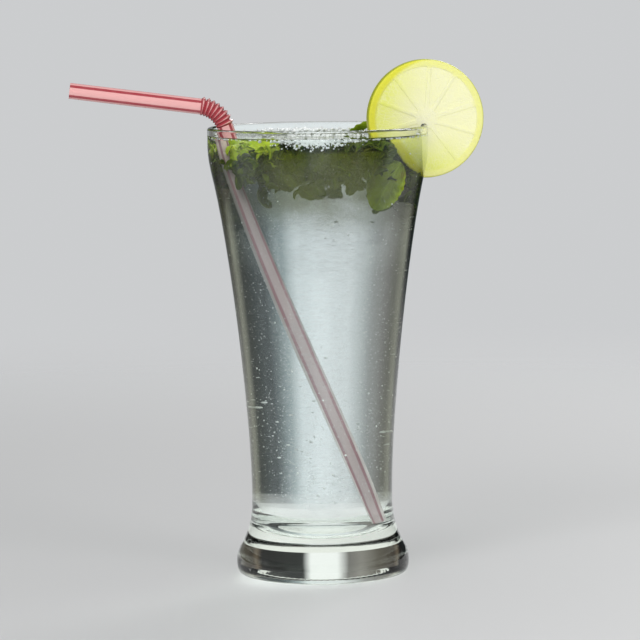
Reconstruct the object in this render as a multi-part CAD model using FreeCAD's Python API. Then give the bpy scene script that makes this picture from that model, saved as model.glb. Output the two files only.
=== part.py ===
"""Lime soda in a footed pilsner glass, with its bendy straw, a lime slice on the rim and mint leaves.

Millimetres, +Z up.  The origin is where the axis of the glass meets the table.  Every piece stands
in its place in the served drink: the slice rides on the rim, the straw leans on it, and the drink
fills what the glass, the straw, the slice and the leaves leave free below its level.
"""
import FreeCAD, Part
import math
import os

V = FreeCAD.Vector
Z_AXIS = V(0, 0, 1)
ORIGIN = V(0, 0, 0)

# ---- glass ------------------------------------------------------------------------------------
GLASS_HEIGHT = 171.0        # table to the top of the lip
MOUTH_RADIUS = 42.0         # outside, at the lip
WAIST_RADIUS = 26.9         # outside, where the body is slimmest
WAIST_HEIGHT = 28.0
LIP_BAND = 6.0              # height of the upright band under the lip
WALL = 2.0                  # at the lip
WAIST_WALL = 2.4            # the wall thickens towards the foot
FOOT_RADIUS = 33.1          # outside, at the fullest part of the foot
FOOT_FULL_HEIGHT = 4.6      # height of that fullest part
FOOT_CREASE_RADIUS = 30.5   # the shallow crease between the foot and the body
FOOT_CREASE_HEIGHT = 12.0
CONTACT_RADIUS = 31.0       # rim of the flat underside
FLOOR_HEIGHT = 14.0         # solid glass under the drink
FLOOR_CORNER = 10.5         # radius where the floor turns up into the wall
# share of the way up from waist to lip band, and share of the way out from waist to mouth
BODY_SWELL = ((0.22, 0.082), (0.47, 0.288), (0.73, 0.597), (0.89, 0.858))

# ---- drink ------------------------------------------------------------------------------------
FREE_HEIGHT = 4.15          # level of the drink below the top of the lip

# ---- straw ------------------------------------------------------------------------------------
STRAW_RADIUS = 3.0          # outside of the plain tube
STRAW_WALL = 0.28
STRAW_HEADING = 185.4       # degrees round from +X: the way the tube leans as it rises
STRAW_SIDE = 9.0            # how far the tube passes to the near side of the glass axis
STRAW_RIM_GAP = 0.2         # between the tube and the inside of the lip
STRAW_WAIST_GAP = 2.6       # between the tube and the wall where the floor turns up
STRAW_FLOOR_GAP = 0.3       # between the tube's cut end and the curved floor
STRAW_ARM = 49.5            # plain tube past the bend
ARM_HEADING = 184.0
ARM_RISE = 7.7              # degrees over level
FLEX_CLEARANCE = 1.2        # the flex starts this far above the lip
FLEX_RADIUS = 11.2          # of the bend, at the centre of the tube
FLEX_RIBS = 8
RIB_PROUD = 0.62            # crests stand this far out of the plain tube
RIB_SINK = 0.12             # roots lie this far under it
RIB_SHIFT = 0.22            # crests open on the outside of the bend and fold on the inside

# ---- lime slice -------------------------------------------------------------------------------
SLICE_RADIUS = 22.6
SLICE_THICKNESS = 4.6
SLICE_ROUND = 0.9           # rounding of the peel's two edges
SLICE_HEADING = 11.0        # degrees round the rim from +X
SLICE_HUB_RISE = 2.1        # centre of the slice above the top of the lip
SLICE_HUB_OUT = 0.9         # centre of the slice outside the middle of the wall
SLIT_CLEARANCE = 0.3        # round the glass wall on each side and over the lip
PEEL_WIDTH = 2.7            # peel and pith, from the edge to the flesh
SEGMENTS = 10
MEMBRANE = 0.9              # width between two segments
CORE_RADIUS = 1.9
SEGMENT_SINK = 0.25         # flesh lies this far under the cut face
SEGMENT_ROUND = 0.8
SEGMENT_SWAY = 3.2          # degrees by which the membranes stray from even spacing

# ---- mint -------------------------------------------------------------------------------------
LEAF_THICKNESS = 0.45
LEAF_TEETH = 7              # on each side
LEAF_TOOTH_DEPTH = 0.07     # share of the leaf's width
MIDRIB_RADIUS = 0.42
# length, width, radius it is cupped to; stalk end's heading, depth inside the wall and under the
# level; then the turns yaw, pitch and roll
LEAVES = {
    "mint_leaf_rear": (15.0, 9.5, 14.0, 68.6, 12.6, 5.0, 12.0, -48.0, -38.0),
    "mint_leaf_left": (17.0, 10.0, 16.0, 250.0, 11.0, 6.2, 166.0, -25.0, -42.0),
    "mint_leaf_right": (16.0, 10.0, 15.0, 308.7, 8.0, 7.3, 40.0, -28.0, 62.0),
}

LEVEL = GLASS_HEIGHT - FREE_HEIGHT


# ---- glass ------------------------------------------------------------------------------------
def body_points(inset_at_mouth, inset_at_waist):
    """Points of the body's curve from waist to lip band, drawn in by the wall at each height."""
    top = GLASS_HEIGHT - LIP_BAND
    points = []
    for rise, swell in ((0.0, 0.0),) + BODY_SWELL + ((1.0, 1.0),):
        inset = inset_at_waist + (inset_at_mouth - inset_at_waist) * rise
        radius = WAIST_RADIUS + (MOUTH_RADIUS - WAIST_RADIUS) * swell - inset
        points.append(V(radius, 0, WAIST_HEIGHT + (top - WAIST_HEIGHT) * rise))
    return points


def body_curve(inset_at_mouth, inset_at_waist):
    """The smooth side of the body, upright at the waist and again under the lip."""
    curve = Part.BSplineCurve()
    curve.interpolate(
        Points=body_points(inset_at_mouth, inset_at_waist),
        InitialTangent=Z_AXIS,
        FinalTangent=Z_AXIS,
    )
    return curve.toShape()


def line(start, end):
    return Part.LineSegment(start, end).toShape()


def arc(start, middle, end):
    return Part.Arc(start, middle, end).toShape()


def flare_curve():
    """Concave sweep from the waist down and out to the crease over the foot."""
    sweep = Part.BezierCurve()
    drop = WAIST_HEIGHT - FOOT_CREASE_HEIGHT
    hollow_radius = WAIST_RADIUS + 0.36 * (FOOT_CREASE_RADIUS - WAIST_RADIUS)
    sweep.setPoles([
        V(FOOT_CREASE_RADIUS, 0, FOOT_CREASE_HEIGHT),
        V(hollow_radius, 0, FOOT_CREASE_HEIGHT + 0.30 * drop),
        V(WAIST_RADIUS, 0, FOOT_CREASE_HEIGHT + 0.62 * drop),
        V(WAIST_RADIUS, 0, WAIST_HEIGHT),
    ])
    return sweep.toShape()


def foot_edges():
    """Flat underside, round heel and full foot, from the axis out and up to the crease."""
    contact = V(CONTACT_RADIUS, 0, 0)
    full = V(FOOT_RADIUS, 0, FOOT_FULL_HEIGHT)
    crease = V(FOOT_CREASE_RADIUS, 0, FOOT_CREASE_HEIGHT)
    heel = Part.BezierCurve()
    heel.setPoles([contact, V(FOOT_RADIUS - 0.35, 0, 0.35), V(FOOT_RADIUS, 0, 1.9), full])
    shoulder = Part.BezierCurve()
    rise = FOOT_CREASE_HEIGHT - FOOT_FULL_HEIGHT
    shoulder_radius = FOOT_CREASE_RADIUS + 0.40 * (FOOT_RADIUS - FOOT_CREASE_RADIUS)
    shoulder.setPoles([
        full,
        V(FOOT_RADIUS, 0, FOOT_FULL_HEIGHT + 0.45 * rise),
        V(shoulder_radius, 0, FOOT_CREASE_HEIGHT - 0.22 * rise),
        crease,
    ])
    return [line(ORIGIN, contact), heel.toShape(), shoulder.toShape()]


def floor_edges():
    """Inside floor and its round corner, from the axis out and up to the waist."""
    wall_radius = WAIST_RADIUS - WAIST_WALL
    hub = V(wall_radius - FLOOR_CORNER, 0, FLOOR_HEIGHT + FLOOR_CORNER)
    middle = hub + V(1, 0, -1) * (FLOOR_CORNER * math.sqrt(0.5))
    start = V(hub.x, 0, FLOOR_HEIGHT)
    end = V(wall_radius, 0, hub.z)
    return [
        line(V(0, 0, FLOOR_HEIGHT), start),
        arc(start, middle, end),
        line(end, V(wall_radius, 0, WAIST_HEIGHT)),
    ]


def revolve(edges):
    wire = Part.Wire(Part.__sortEdges__(edges))
    return Part.Face(wire).revolve(ORIGIN, Z_AXIS, 360)


def make_glass():
    lip_round = WALL / 2
    shoulder = GLASS_HEIGHT - LIP_BAND
    lip = GLASS_HEIGHT - lip_round
    inner = MOUTH_RADIUS - WALL
    edges = foot_edges()
    edges.append(flare_curve())
    edges.append(body_curve(0.0, 0.0))
    edges.append(line(V(MOUTH_RADIUS, 0, shoulder), V(MOUTH_RADIUS, 0, lip)))
    edges.append(arc(V(MOUTH_RADIUS, 0, lip), V(MOUTH_RADIUS - lip_round, 0, GLASS_HEIGHT), V(inner, 0, lip)))
    edges.append(line(V(inner, 0, lip), V(inner, 0, shoulder)))
    edges.append(body_curve(WALL, WAIST_WALL))
    edges.extend(floor_edges())
    edges.append(line(V(0, 0, FLOOR_HEIGHT), ORIGIN))
    return revolve(edges)


def make_wall_keepout():
    """The wall near the lip, fatter by the slit's clearance: what the slice has to leave free."""
    gap = SLIT_CLEARANCE
    shoulder = GLASS_HEIGHT - LIP_BAND
    top = GLASS_HEIGHT + gap
    outer = MOUTH_RADIUS + gap
    inner = MOUTH_RADIUS - WALL - gap
    lip_round = (outer - inner) / 2
    edges = [
        body_curve(-gap, -gap),
        line(V(outer, 0, shoulder), V(outer, 0, top - lip_round)),
        arc(V(outer, 0, top - lip_round), V(outer - lip_round, 0, top), V(inner, 0, top - lip_round)),
        line(V(inner, 0, top - lip_round), V(inner, 0, shoulder)),
        body_curve(WALL + gap, WAIST_WALL + gap),
        line(V(WAIST_RADIUS - WAIST_WALL - gap, 0, WAIST_HEIGHT), V(WAIST_RADIUS + gap, 0, WAIST_HEIGHT)),
    ]
    return revolve(edges)


# ---- drink ------------------------------------------------------------------------------------
def make_fill():
    """All that lies inside the glass up to the level."""
    inner = MOUTH_RADIUS - WALL
    edges = floor_edges()
    edges.append(body_curve(WALL, WAIST_WALL))
    edges.append(line(V(inner, 0, GLASS_HEIGHT - LIP_BAND), V(inner, 0, LEVEL)))
    edges.append(line(V(inner, 0, LEVEL), V(0, 0, LEVEL)))
    edges.append(line(V(0, 0, LEVEL), V(0, 0, FLOOR_HEIGHT)))
    return revolve(edges)


# ---- straw ------------------------------------------------------------------------------------
def heading(degrees, tilt):
    """Unit vector that points round from +X by degrees and up from level by tilt."""
    turn = math.radians(degrees)
    rise = math.radians(tilt)
    return V(math.cos(turn) * math.cos(rise), math.sin(turn) * math.cos(rise), math.sin(rise))


def straw_axis():
    """A point on the lower tube's axis at the lip, and the axis direction.

    The tube leans on the inside of the lip on one side and stands close to the wall at the floor on
    the other, a little to one side of the glass axis; its slant follows from those two gaps.
    """
    fall = GLASS_HEIGHT - FLOOR_HEIGHT - FLOOR_CORNER
    lip_reach = MOUTH_RADIUS - WALL - STRAW_RIM_GAP
    floor_reach = WAIST_RADIUS - WAIST_WALL - STRAW_WAIST_GAP
    slant = 0.0
    for _ in range(6):
        half_cut = STRAW_RADIUS / math.cos(slant)
        near = math.sqrt((lip_reach - half_cut) ** 2 - STRAW_SIDE ** 2)
        far = math.sqrt((floor_reach - half_cut) ** 2 - STRAW_SIDE ** 2)
        slant = math.atan((near + far) / fall)
    across = heading(STRAW_HEADING + 90, 0)
    at_lip = heading(STRAW_HEADING, 0) * near + across * STRAW_SIDE + V(0, 0, GLASS_HEIGHT)
    return at_lip, heading(STRAW_HEADING, 90 - math.degrees(slant))


def straw_foot(at_lip, direction):
    """Centre of the tube's lower end: the tube is lowered until its cut edge meets the floor's curve."""
    hub_radius = WAIST_RADIUS - WAIST_WALL - FLOOR_CORNER
    hub_height = FLOOR_HEIGHT + FLOOR_CORNER
    limit = FLOOR_CORNER - STRAW_FLOOR_GAP
    side = direction.cross(Z_AXIS).normalize()
    down = side.cross(direction).normalize()
    length = (GLASS_HEIGHT - hub_height) / direction.z
    step = 0.05
    while True:
        centre = at_lip - direction * (length + step)
        for turn in range(0, 360, 10):
            angle = math.radians(turn)
            edge = centre + (side * math.cos(angle) + down * math.sin(angle)) * STRAW_RADIUS
            out = max(math.hypot(edge.x, edge.y) - hub_radius, 0.0)
            if edge.z < hub_height and math.hypot(out, hub_height - edge.z) > limit:
                return at_lip - direction * length
        length += step


def ring(centre, normal, sideways, radius):
    """A circle round a tube's axis; all rings start on the same side, so that lofts don't twist."""
    circle = Part.Circle(centre, normal, radius)
    circle.XAxis = sideways
    return Part.Wire([circle.toShape()])


def straw_bend():
    """Start of the flex, its hub, the directions at its start, its turn and the sideways direction."""
    at_lip, rise = straw_axis()
    arm = heading(ARM_HEADING, ARM_RISE)
    sideways = rise.cross(arm).normalize()
    outward = rise.cross(sideways).normalize()
    if outward.dot(arm) > 0:
        outward = outward * -1
    start = at_lip + rise * (FLEX_CLEARANCE / rise.z)
    return start, start - outward * FLEX_RADIUS, rise, outward, rise.getAngle(arm), sideways


def flex_rings(thinner):
    """Rings over the flex's roots and crests, each square to the bent centre line."""
    _, hub, rise, outward, turn, sideways = straw_bend()
    plain = STRAW_RADIUS - thinner
    rings = []
    steps = 2 * FLEX_RIBS
    for step in range(steps + 1):
        angle = turn * step / steps
        spoke = outward * math.cos(angle) + rise * math.sin(angle)
        tangent = rise * math.cos(angle) - outward * math.sin(angle)
        crest = step % 2 == 1
        shift = RIB_SHIFT if crest else 0.0
        radius = plain + (RIB_PROUD if crest else -RIB_SINK)
        rings.append(ring(hub + spoke * (FLEX_RADIUS + shift), tangent, sideways, radius))
    return rings


def make_straw_body(thinner=0.0, overrun=0.0):
    """The straw as a closed rod, thinner all round by the wall for its bore."""
    start, hub, rise, outward, turn, _ = straw_bend()
    plain = STRAW_RADIUS - thinner
    foot = straw_foot(*straw_axis()) - rise * overrun
    tube = Part.makeCylinder(plain, (start - foot).Length, foot, rise)
    bend_end = hub + (outward * math.cos(turn) + rise * math.sin(turn)) * FLEX_RADIUS
    along = rise * math.cos(turn) - outward * math.sin(turn)
    arm = Part.makeCylinder(plain, STRAW_ARM + overrun, bend_end, along)
    rings = flex_rings(thinner)
    folds = [Part.makeLoft([low, high], True, True) for low, high in zip(rings, rings[1:])]
    return tube.multiFuse(folds + [arm])


def make_straw():
    return make_straw_body().cut(make_straw_body(STRAW_WALL, 1.0))


# ---- lime slice -------------------------------------------------------------------------------
def place_slice(shape):
    """Moves a shape drawn round the slice's hub, facing -Y, to its seat on the rim."""
    hub = heading(SLICE_HEADING, 0) * (MOUTH_RADIUS - WALL / 2 + SLICE_HUB_OUT)
    shape.rotate(ORIGIN, Z_AXIS, SLICE_HEADING)
    shape.translate(hub + V(0, 0, GLASS_HEIGHT + SLICE_HUB_RISE))
    return shape


def membrane_angle(index):
    """Direction of one membrane in degrees, a little off even spacing as in a grown fruit."""
    return 360.0 * index / SEGMENTS + 17.0 + SEGMENT_SWAY * math.sin(2.4 * index)


def segment_pocket(index):
    """One segment's shallow recess, as a rounded wedge that runs through both faces of the slice."""
    start = math.radians(membrane_angle(index))
    end = math.radians(membrane_angle(index + 1))
    if end < start:
        end += 2 * math.pi
    middle = (start + end) / 2
    reach = SLICE_RADIUS - PEEL_WIDTH
    half = MEMBRANE / 2
    offset = math.asin(half / reach)
    apex_radius = max(CORE_RADIUS, half / math.sin((end - start) / 2)) + 0.6
    apex = V(math.cos(middle), 0, math.sin(middle)) * apex_radius
    left = V(math.cos(start + offset), 0, math.sin(start + offset)) * reach
    crown = V(math.cos(middle), 0, math.sin(middle)) * reach
    right = V(math.cos(end - offset), 0, math.sin(end - offset)) * reach
    wire = Part.Wire([line(apex, left), arc(left, crown, right), line(right, apex)])
    prism = Part.Face(wire).extrude(V(0, 2 * SLICE_THICKNESS, 0))
    prism.translate(V(0, -SLICE_THICKNESS, 0))
    upright = [edge for edge in prism.Edges if abs(edge.tangentAt(edge.FirstParameter).y) > 0.99]
    return prism.makeFillet(SEGMENT_ROUND, upright)


def make_slice():
    half = SLICE_THICKNESS / 2
    disc = Part.makeCylinder(SLICE_RADIUS, SLICE_THICKNESS, V(0, -half, 0), V(0, 1, 0))
    rims = [edge for edge in disc.Edges if isinstance(edge.Curve, Part.Circle)]
    disc = disc.makeFillet(SLICE_ROUND, rims)
    skin_depth = half - SEGMENT_SINK
    core = Part.makeCylinder(SLICE_RADIUS, 2 * skin_depth, V(0, -skin_depth, 0), V(0, 1, 0))
    for index in range(SEGMENTS):
        disc = disc.cut(segment_pocket(index).cut(core))
    return place_slice(disc).cut(make_wall_keepout())


# ---- mint -------------------------------------------------------------------------------------
def leaf_outline(length, width):
    """Corner points of a serrated oval leaf, from its stalk end along one side and back."""
    def half_width(share):
        return 0.5 * width * math.sin(math.pi * share ** 0.82) ** 0.8

    side = [V(0, 0, 0)]
    for tooth in range(LEAF_TEETH):
        share = (tooth + 0.35) / LEAF_TEETH
        notch = (tooth + 1.0) / LEAF_TEETH
        side.append(V(length * (share + 0.25 / LEAF_TEETH), half_width(min(share, 0.97)), 0))
        if tooth < LEAF_TEETH - 1:
            dip = half_width(notch) - LEAF_TOOTH_DEPTH * width
            side.append(V(length * notch, max(dip, 0.04 * width), 0))
    tip = V(length * 1.04, 0, 0)
    back = [V(point.x, -point.y, 0) for point in reversed(side[1:])]
    return side + [tip] + back


def make_leaf(length, width, dome):
    """A leaf that starts at the origin and runs along +X; dome is the radius it is cupped to."""
    points = leaf_outline(length, width)
    wire = Part.makePolygon(points + [points[0]])
    blank = Part.Face(wire).extrude(V(0, 0, 2 * length))
    blank.translate(V(0, 0, -length))
    hub = V(length / 2, 0, -dome)
    cup = Part.makeSphere(dome, hub).cut(Part.makeSphere(dome - LEAF_THICKNESS, hub))
    leaf = blank.common(cup)
    rib = Part.makeTorus(dome - LEAF_THICKNESS, MIDRIB_RADIUS, hub, V(0, 1, 0))
    strip = Part.makeBox(0.94 * length, 4 * MIDRIB_RADIUS, 2 * length, V(0, -2 * MIDRIB_RADIUS, -dome / 2))
    return leaf.fuse(rib.common(strip)).removeSplitter()


def place_leaf(name):
    """One of the leaves that break the surface, in its place among the drink."""
    length, width, dome, bearing, inset, sunk, yaw, pitch, roll = LEAVES[name]
    at = heading(bearing, 0) * (MOUTH_RADIUS - WALL - inset) + V(0, 0, LEVEL - sunk)
    leaf = make_leaf(length, width, dome)
    leaf.Placement = FreeCAD.Placement(at, FreeCAD.Rotation(yaw, pitch, roll))
    return leaf


# ---- the served drink -------------------------------------------------------------------------
def make_parts():
    parts = {
        "glass": make_glass(),
        "straw": make_straw(),
        "lime_slice": make_slice(),
    }
    for name in LEAVES:
        parts[name] = place_leaf(name)
    drink = make_fill()
    for name, shape in parts.items():
        if name != "glass":
            drink = drink.cut(shape)
    parts["drink"] = drink
    return parts


def main():
    os.makedirs("parts", exist_ok=True)
    for name, shape in make_parts().items():
        shape.exportStep("parts/" + name + ".step")
        box = shape.BoundBox
        print(name, "solids", len(shape.Solids), "valid", shape.isValid(), "volume", round(shape.Volume, 1),
              "box", [round(v, 2) for v in (box.XMin, box.YMin, box.ZMin, box.XMax, box.YMax, box.ZMax)])


main()
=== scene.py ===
"""Looks of a lime soda: a footed flared glass of cloudy soda with a bendy straw, a lime slice and mint.

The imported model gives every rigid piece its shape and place.  This file dresses those pieces and adds
what is too fine for them: the drink with its curved surface, the mint afloat in it, foam, bubbles.
Metres, +Z up, the glass stands on the origin.
"""

import logging
import math
import random
from dataclasses import dataclass, field
from enum import Enum
from typing import Any, Callable, Iterable, Sequence

import bmesh
import bpy
from mathutils import Euler, Matrix, Vector
from mathutils.bvhtree import BVHTree


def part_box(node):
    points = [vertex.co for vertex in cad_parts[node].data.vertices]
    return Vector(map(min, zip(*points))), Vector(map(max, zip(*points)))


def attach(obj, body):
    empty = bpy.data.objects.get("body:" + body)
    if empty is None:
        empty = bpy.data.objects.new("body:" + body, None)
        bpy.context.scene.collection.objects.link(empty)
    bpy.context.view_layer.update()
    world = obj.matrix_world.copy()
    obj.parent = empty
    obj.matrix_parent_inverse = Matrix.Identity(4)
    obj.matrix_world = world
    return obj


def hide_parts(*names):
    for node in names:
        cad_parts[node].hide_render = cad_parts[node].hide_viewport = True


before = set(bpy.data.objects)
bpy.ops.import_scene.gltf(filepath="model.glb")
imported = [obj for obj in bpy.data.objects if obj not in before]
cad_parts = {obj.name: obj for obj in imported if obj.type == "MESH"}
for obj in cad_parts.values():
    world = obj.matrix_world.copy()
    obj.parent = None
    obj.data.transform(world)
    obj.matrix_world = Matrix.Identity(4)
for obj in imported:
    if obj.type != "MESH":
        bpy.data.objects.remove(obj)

LOG = logging.getLogger("lime_soda")
Rgb = tuple[float, float, float]
Stop = tuple[float, Rgb]


class Slot(Enum):
    """Names of two material slots for the new pieces, which nothing here gives to a piece."""

    DRINK = "drink"
    MINT = "mint"


def heading(degrees: float, tilt: float = 0.0) -> Vector:
    """Unit vector that points round from +X by degrees and up from level by tilt."""
    turn, rise = math.radians(degrees), math.radians(tilt)
    return Vector((math.cos(turn) * math.cos(rise), math.sin(turn) * math.cos(rise), math.sin(rise)))


def at_bearing(reach: float, bearing: float, height: float) -> Vector:
    """The point at a distance from the axis, at a bearing in radians and at a height."""
    return Vector((reach * math.cos(bearing), reach * math.sin(bearing), height))


# ---- node trees -------------------------------------------------------------------------------
@dataclass
class Tree:
    """A node tree with short calls for the nodes that the finishes use."""

    tree: bpy.types.NodeTree

    def node(self, kind: str, inputs: dict[str, Any] | None = None, **fields: Any) -> bpy.types.Node:
        """Adds a node.

        Args:
            kind: the node's type name.
            inputs: socket names with a plain value or with a socket to join to them.
            **fields: the node's own settings.

        Returns:
            The new node.
        """
        made = self.tree.nodes.new(kind)
        for name, value in fields.items():
            setattr(made, name, value)
        for name, value in (inputs or {}).items():
            socket = made.inputs[int(name)] if name.isdigit() else made.inputs[name]
            if isinstance(value, bpy.types.NodeSocket):
                self.tree.links.new(value, socket)
            elif isinstance(value, tuple) and socket.type == "RGBA" and len(value) == 3:
                socket.default_value = (*value, 1.0)
            else:
                socket.default_value = value
        return made

    def math(self, operation: str, a: Any, b: Any = 0.0, c: Any = 0.0) -> bpy.types.NodeSocket:
        """Works out one number from up to three and returns its socket."""
        inputs = {"0": a, "1": b, "2": c}
        return self.node("ShaderNodeMath", inputs, operation=operation).outputs[0]

    def times(self, a: Any, b: Any) -> bpy.types.NodeSocket:
        """One number times another."""
        return self.math("MULTIPLY", a, b)

    def times_plus(self, a: Any, b: Any, c: Any) -> bpy.types.NodeSocket:
        """One number times another, plus a third."""
        return self.math("MULTIPLY_ADD", a, b, c)

    def minus(self, a: Any, b: Any) -> bpy.types.NodeSocket:
        """One number less another."""
        return self.math("SUBTRACT", a, b)

    def step(self, value: Any, low: float, high: float) -> bpy.types.NodeSocket:
        """A soft step from 0 at one value to 1 at another.

        Args:
            value: what is measured.
            low: where the step is 0.
            high: where the step is 1, which may be less than low.

        Returns:
            The step's socket.
        """
        turned = low > high
        inputs = {
            "Value": value,
            "From Min": high if turned else low,
            "From Max": low if turned else high,
            "To Min": 1.0 if turned else 0.0,
            "To Max": 0.0 if turned else 1.0,
        }
        made = self.node("ShaderNodeMapRange", inputs, interpolation_type="SMOOTHSTEP")
        return made.outputs["Result"]

    def noise(self, vector: Any, scale: float, detail: float = 3.0,
              rough: float = 0.5) -> bpy.types.NodeSocket:
        """Soft noise between 0 and 1 at a scale in waves per metre."""
        inputs = {"Vector": vector, "Scale": scale, "Detail": detail, "Roughness": rough}
        return self.node("ShaderNodeTexNoise", inputs).outputs["Fac"]

    def ramp(self, value: Any, stops: Sequence[Stop]) -> bpy.types.NodeSocket:
        """A colour that runs through stops.

        Args:
            value: where on the ramp, from 0 to 1.
            stops: place and colour of each stop, in order.

        Returns:
            The colour's socket.
        """
        made = self.node("ShaderNodeValToRGB", {"Fac": value})
        points = made.color_ramp.elements
        while len(points) < len(stops):
            points.new(1.0)
        for point, (place, colour) in zip(points, stops):
            point.position = place
            point.color = (*colour, 1.0)
        return made.outputs["Color"]

    def mix(self, share: Any, a: Any, b: Any) -> bpy.types.NodeSocket:
        """Mixes colour b over colour a by a share."""
        inputs = {"0": share, "6": a, "7": b}
        fields = {"data_type": "RGBA", "blend_type": "MIX", "clamp_factor": True}
        return self.node("ShaderNodeMix", inputs, **fields).outputs[2]

    def place(self) -> bpy.types.NodeSocket:
        """The point of the surface in the part's own frame, in metres."""
        return self.node("ShaderNodeTexCoord").outputs["Object"]

    def local(self, at: Vector, turn: Euler) -> bpy.types.NodeSocket:
        """The point seen from a frame at a place, turned by the given angles."""
        inputs = {"Vector": self.place(), "Location": tuple(at), "Rotation": tuple(turn)}
        return self.node("ShaderNodeMapping", inputs, vector_type="TEXTURE").outputs[0]

    def split(self, vector: Any) -> tuple[bpy.types.NodeSocket, ...]:
        """The three numbers of a vector."""
        return tuple(self.node("ShaderNodeSeparateXYZ", {"Vector": vector}).outputs)

    def mix_values(self, share: Any, a: Any, b: Any) -> bpy.types.NodeSocket:
        """Mixes number b over number a by a share."""
        return self.math("ADD", self.times(a, self.minus(1.0, share)), self.times(b, share))

    def reach_along(self, vector: Any, way: Vector) -> bpy.types.NodeSocket:
        """How far a vector reaches along a direction."""
        inputs = {"0": vector, "1": tuple(way)}
        return self.node("ShaderNodeVectorMath", inputs, operation="DOT_PRODUCT").outputs["Value"]

    def length(self, vector: Any) -> bpy.types.NodeSocket:
        """The length of a vector."""
        return self.node("ShaderNodeVectorMath", {"0": vector}, operation="LENGTH").outputs["Value"]

    def facing(self) -> bpy.types.NodeSocket:
        """0 where the surface is met square on, up to 1 where it is grazed."""
        return self.node("ShaderNodeLayerWeight", {"Blend": 0.5}).outputs["Facing"]

    def bump(self, height: Any, strength: float, distance: float) -> bpy.types.NodeSocket:
        """A normal that follows a height field."""
        inputs = {"Height": height, "Strength": strength, "Distance": distance}
        return self.node("ShaderNodeBump", inputs).outputs["Normal"]

    def skin(self, inputs: dict[str, Any]) -> bpy.types.NodeSocket:
        """A principled shader with the given sockets."""
        return self.node("ShaderNodeBsdfPrincipled", inputs).outputs[0]

    def matt(self, colour: Rgb, alpha: Any) -> bpy.types.NodeSocket:
        """A matt skin of one colour that lets the rest through by its alpha."""
        return self.skin({"Base Color": colour, "Roughness": 0.9, "Specular IOR Level": 0.0, "Alpha": alpha})


def new_tree(name: str) -> tuple[bpy.types.Material, Tree]:
    """Starts an empty material and returns it with its tree."""
    material = bpy.data.materials.new(name)
    material.use_nodes = True
    material.node_tree.nodes.clear()
    return material, Tree(material.node_tree)


def finish_tree(tree: Tree, surface: Any, volume: Any = None) -> None:
    """Joins a surface shader, and a volume shader if there is one, to the output."""
    inputs = {"Surface": surface}
    if volume is not None:
        inputs["Volume"] = volume
    tree.node("ShaderNodeOutputMaterial", inputs)


# ---- finishes ---------------------------------------------------------------------------------
@dataclass(frozen=True)
class ClearFinish:
    """Clear glass or liquid that lets the lamps through to what stands in or behind it; its colour runs
    through tints by the angle at which it is met, for the soda painted shade in dark bands at its sides.
    """

    name: str
    tints_and_edge_shade: tuple[Stop, ...]
    ior: float
    clear: float
    shade: Rgb
    absorbed: Rgb
    density: float
    waves: float
    wave_height: float
    edge_shade_from: float = -1.0
    edge_shade_to: float = 1.0
    soft_from: float = 0.008
    soft_to: float = 0.012
    mirror: float = 1.0

    def build(self) -> bpy.types.Material:
        """Makes the material."""
        material, tree = new_tree(self.name)
        ripple = tree.noise(tree.place(), self.waves, 2.0)
        height = tree.split(tree.place())[2]
        # Between two heights the colour follows the angle at which the surface is met: for the soda, painted
        # shade in dark bands at its sides.
        over = tree.times(tree.step(height, self.edge_shade_from, self.edge_shade_from + self.soft_from),
                          tree.step(height, self.edge_shade_to, self.edge_shade_to - self.soft_to))
        inputs = {
            "Base Color": tree.mix(over, self.tints_and_edge_shade[0][1], tree.ramp(tree.facing(), self.tints_and_edge_shade)),
            "Transmission Weight": self.clear,
            "Roughness": 0.0,
            "IOR": self.ior,
            "Specular Tint": (self.mirror,) * 3,
            "Normal": tree.bump(ripple, 0.3, self.wave_height),
        }
        body = tree.skin(inputs)
        open_way = tree.node("ShaderNodeBsdfTransparent", {"Color": self.shade}).outputs[0]
        lamp_ray = tree.node("ShaderNodeLightPath").outputs["Is Shadow Ray"]
        mixed = tree.node("ShaderNodeMixShader", {"0": lamp_ray, "1": body, "2": open_way})
        fog = tree.node("ShaderNodeVolumeAbsorption", {"Color": self.absorbed, "Density": self.density})
        finish_tree(tree, mixed.outputs[0], fog.outputs[0])
        return material


@dataclass(frozen=True)
class FizzHazeFinish:
    """The milky veil of the finest bubbles that rises in the middle of the drink."""

    name: str
    veil: float
    colour: Rgb = (0.90, 0.95, 0.97)
    streaks: float = 330.0
    stretch: float = 2.6
    clouds: float = 24.0
    thickens_from: float = 0.060
    thickens_to: float = 0.025
    thicker: float = 0.8

    def build(self) -> bpy.types.Material:
        """Makes the material."""
        material, tree = new_tree(self.name)
        place = tree.place()
        scale = (1.0, 1.0, self.stretch)
        spot = tree.node("ShaderNodeMapping", {"Vector": place, "Scale": scale}).outputs[0]
        streaks = tree.step(tree.noise(spot, self.streaks, 3.0, 0.6), 0.42, 0.70)
        share = tree.times(streaks, tree.step(tree.noise(place, self.clouds, 2.0), 0.10, 0.70))
        _, _, z = tree.split(place)
        deep = tree.times_plus(tree.step(z, self.thickens_from, self.thickens_to), self.thicker, 1.0)
        soft = tree.times(deep, tree.step(tree.facing(), 0.72, 0.06))
        alpha = tree.times(tree.times_plus(share, self.veil * 1.5, self.veil * 0.4), soft)
        finish_tree(tree, tree.matt(self.colour, alpha))
        return material


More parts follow.
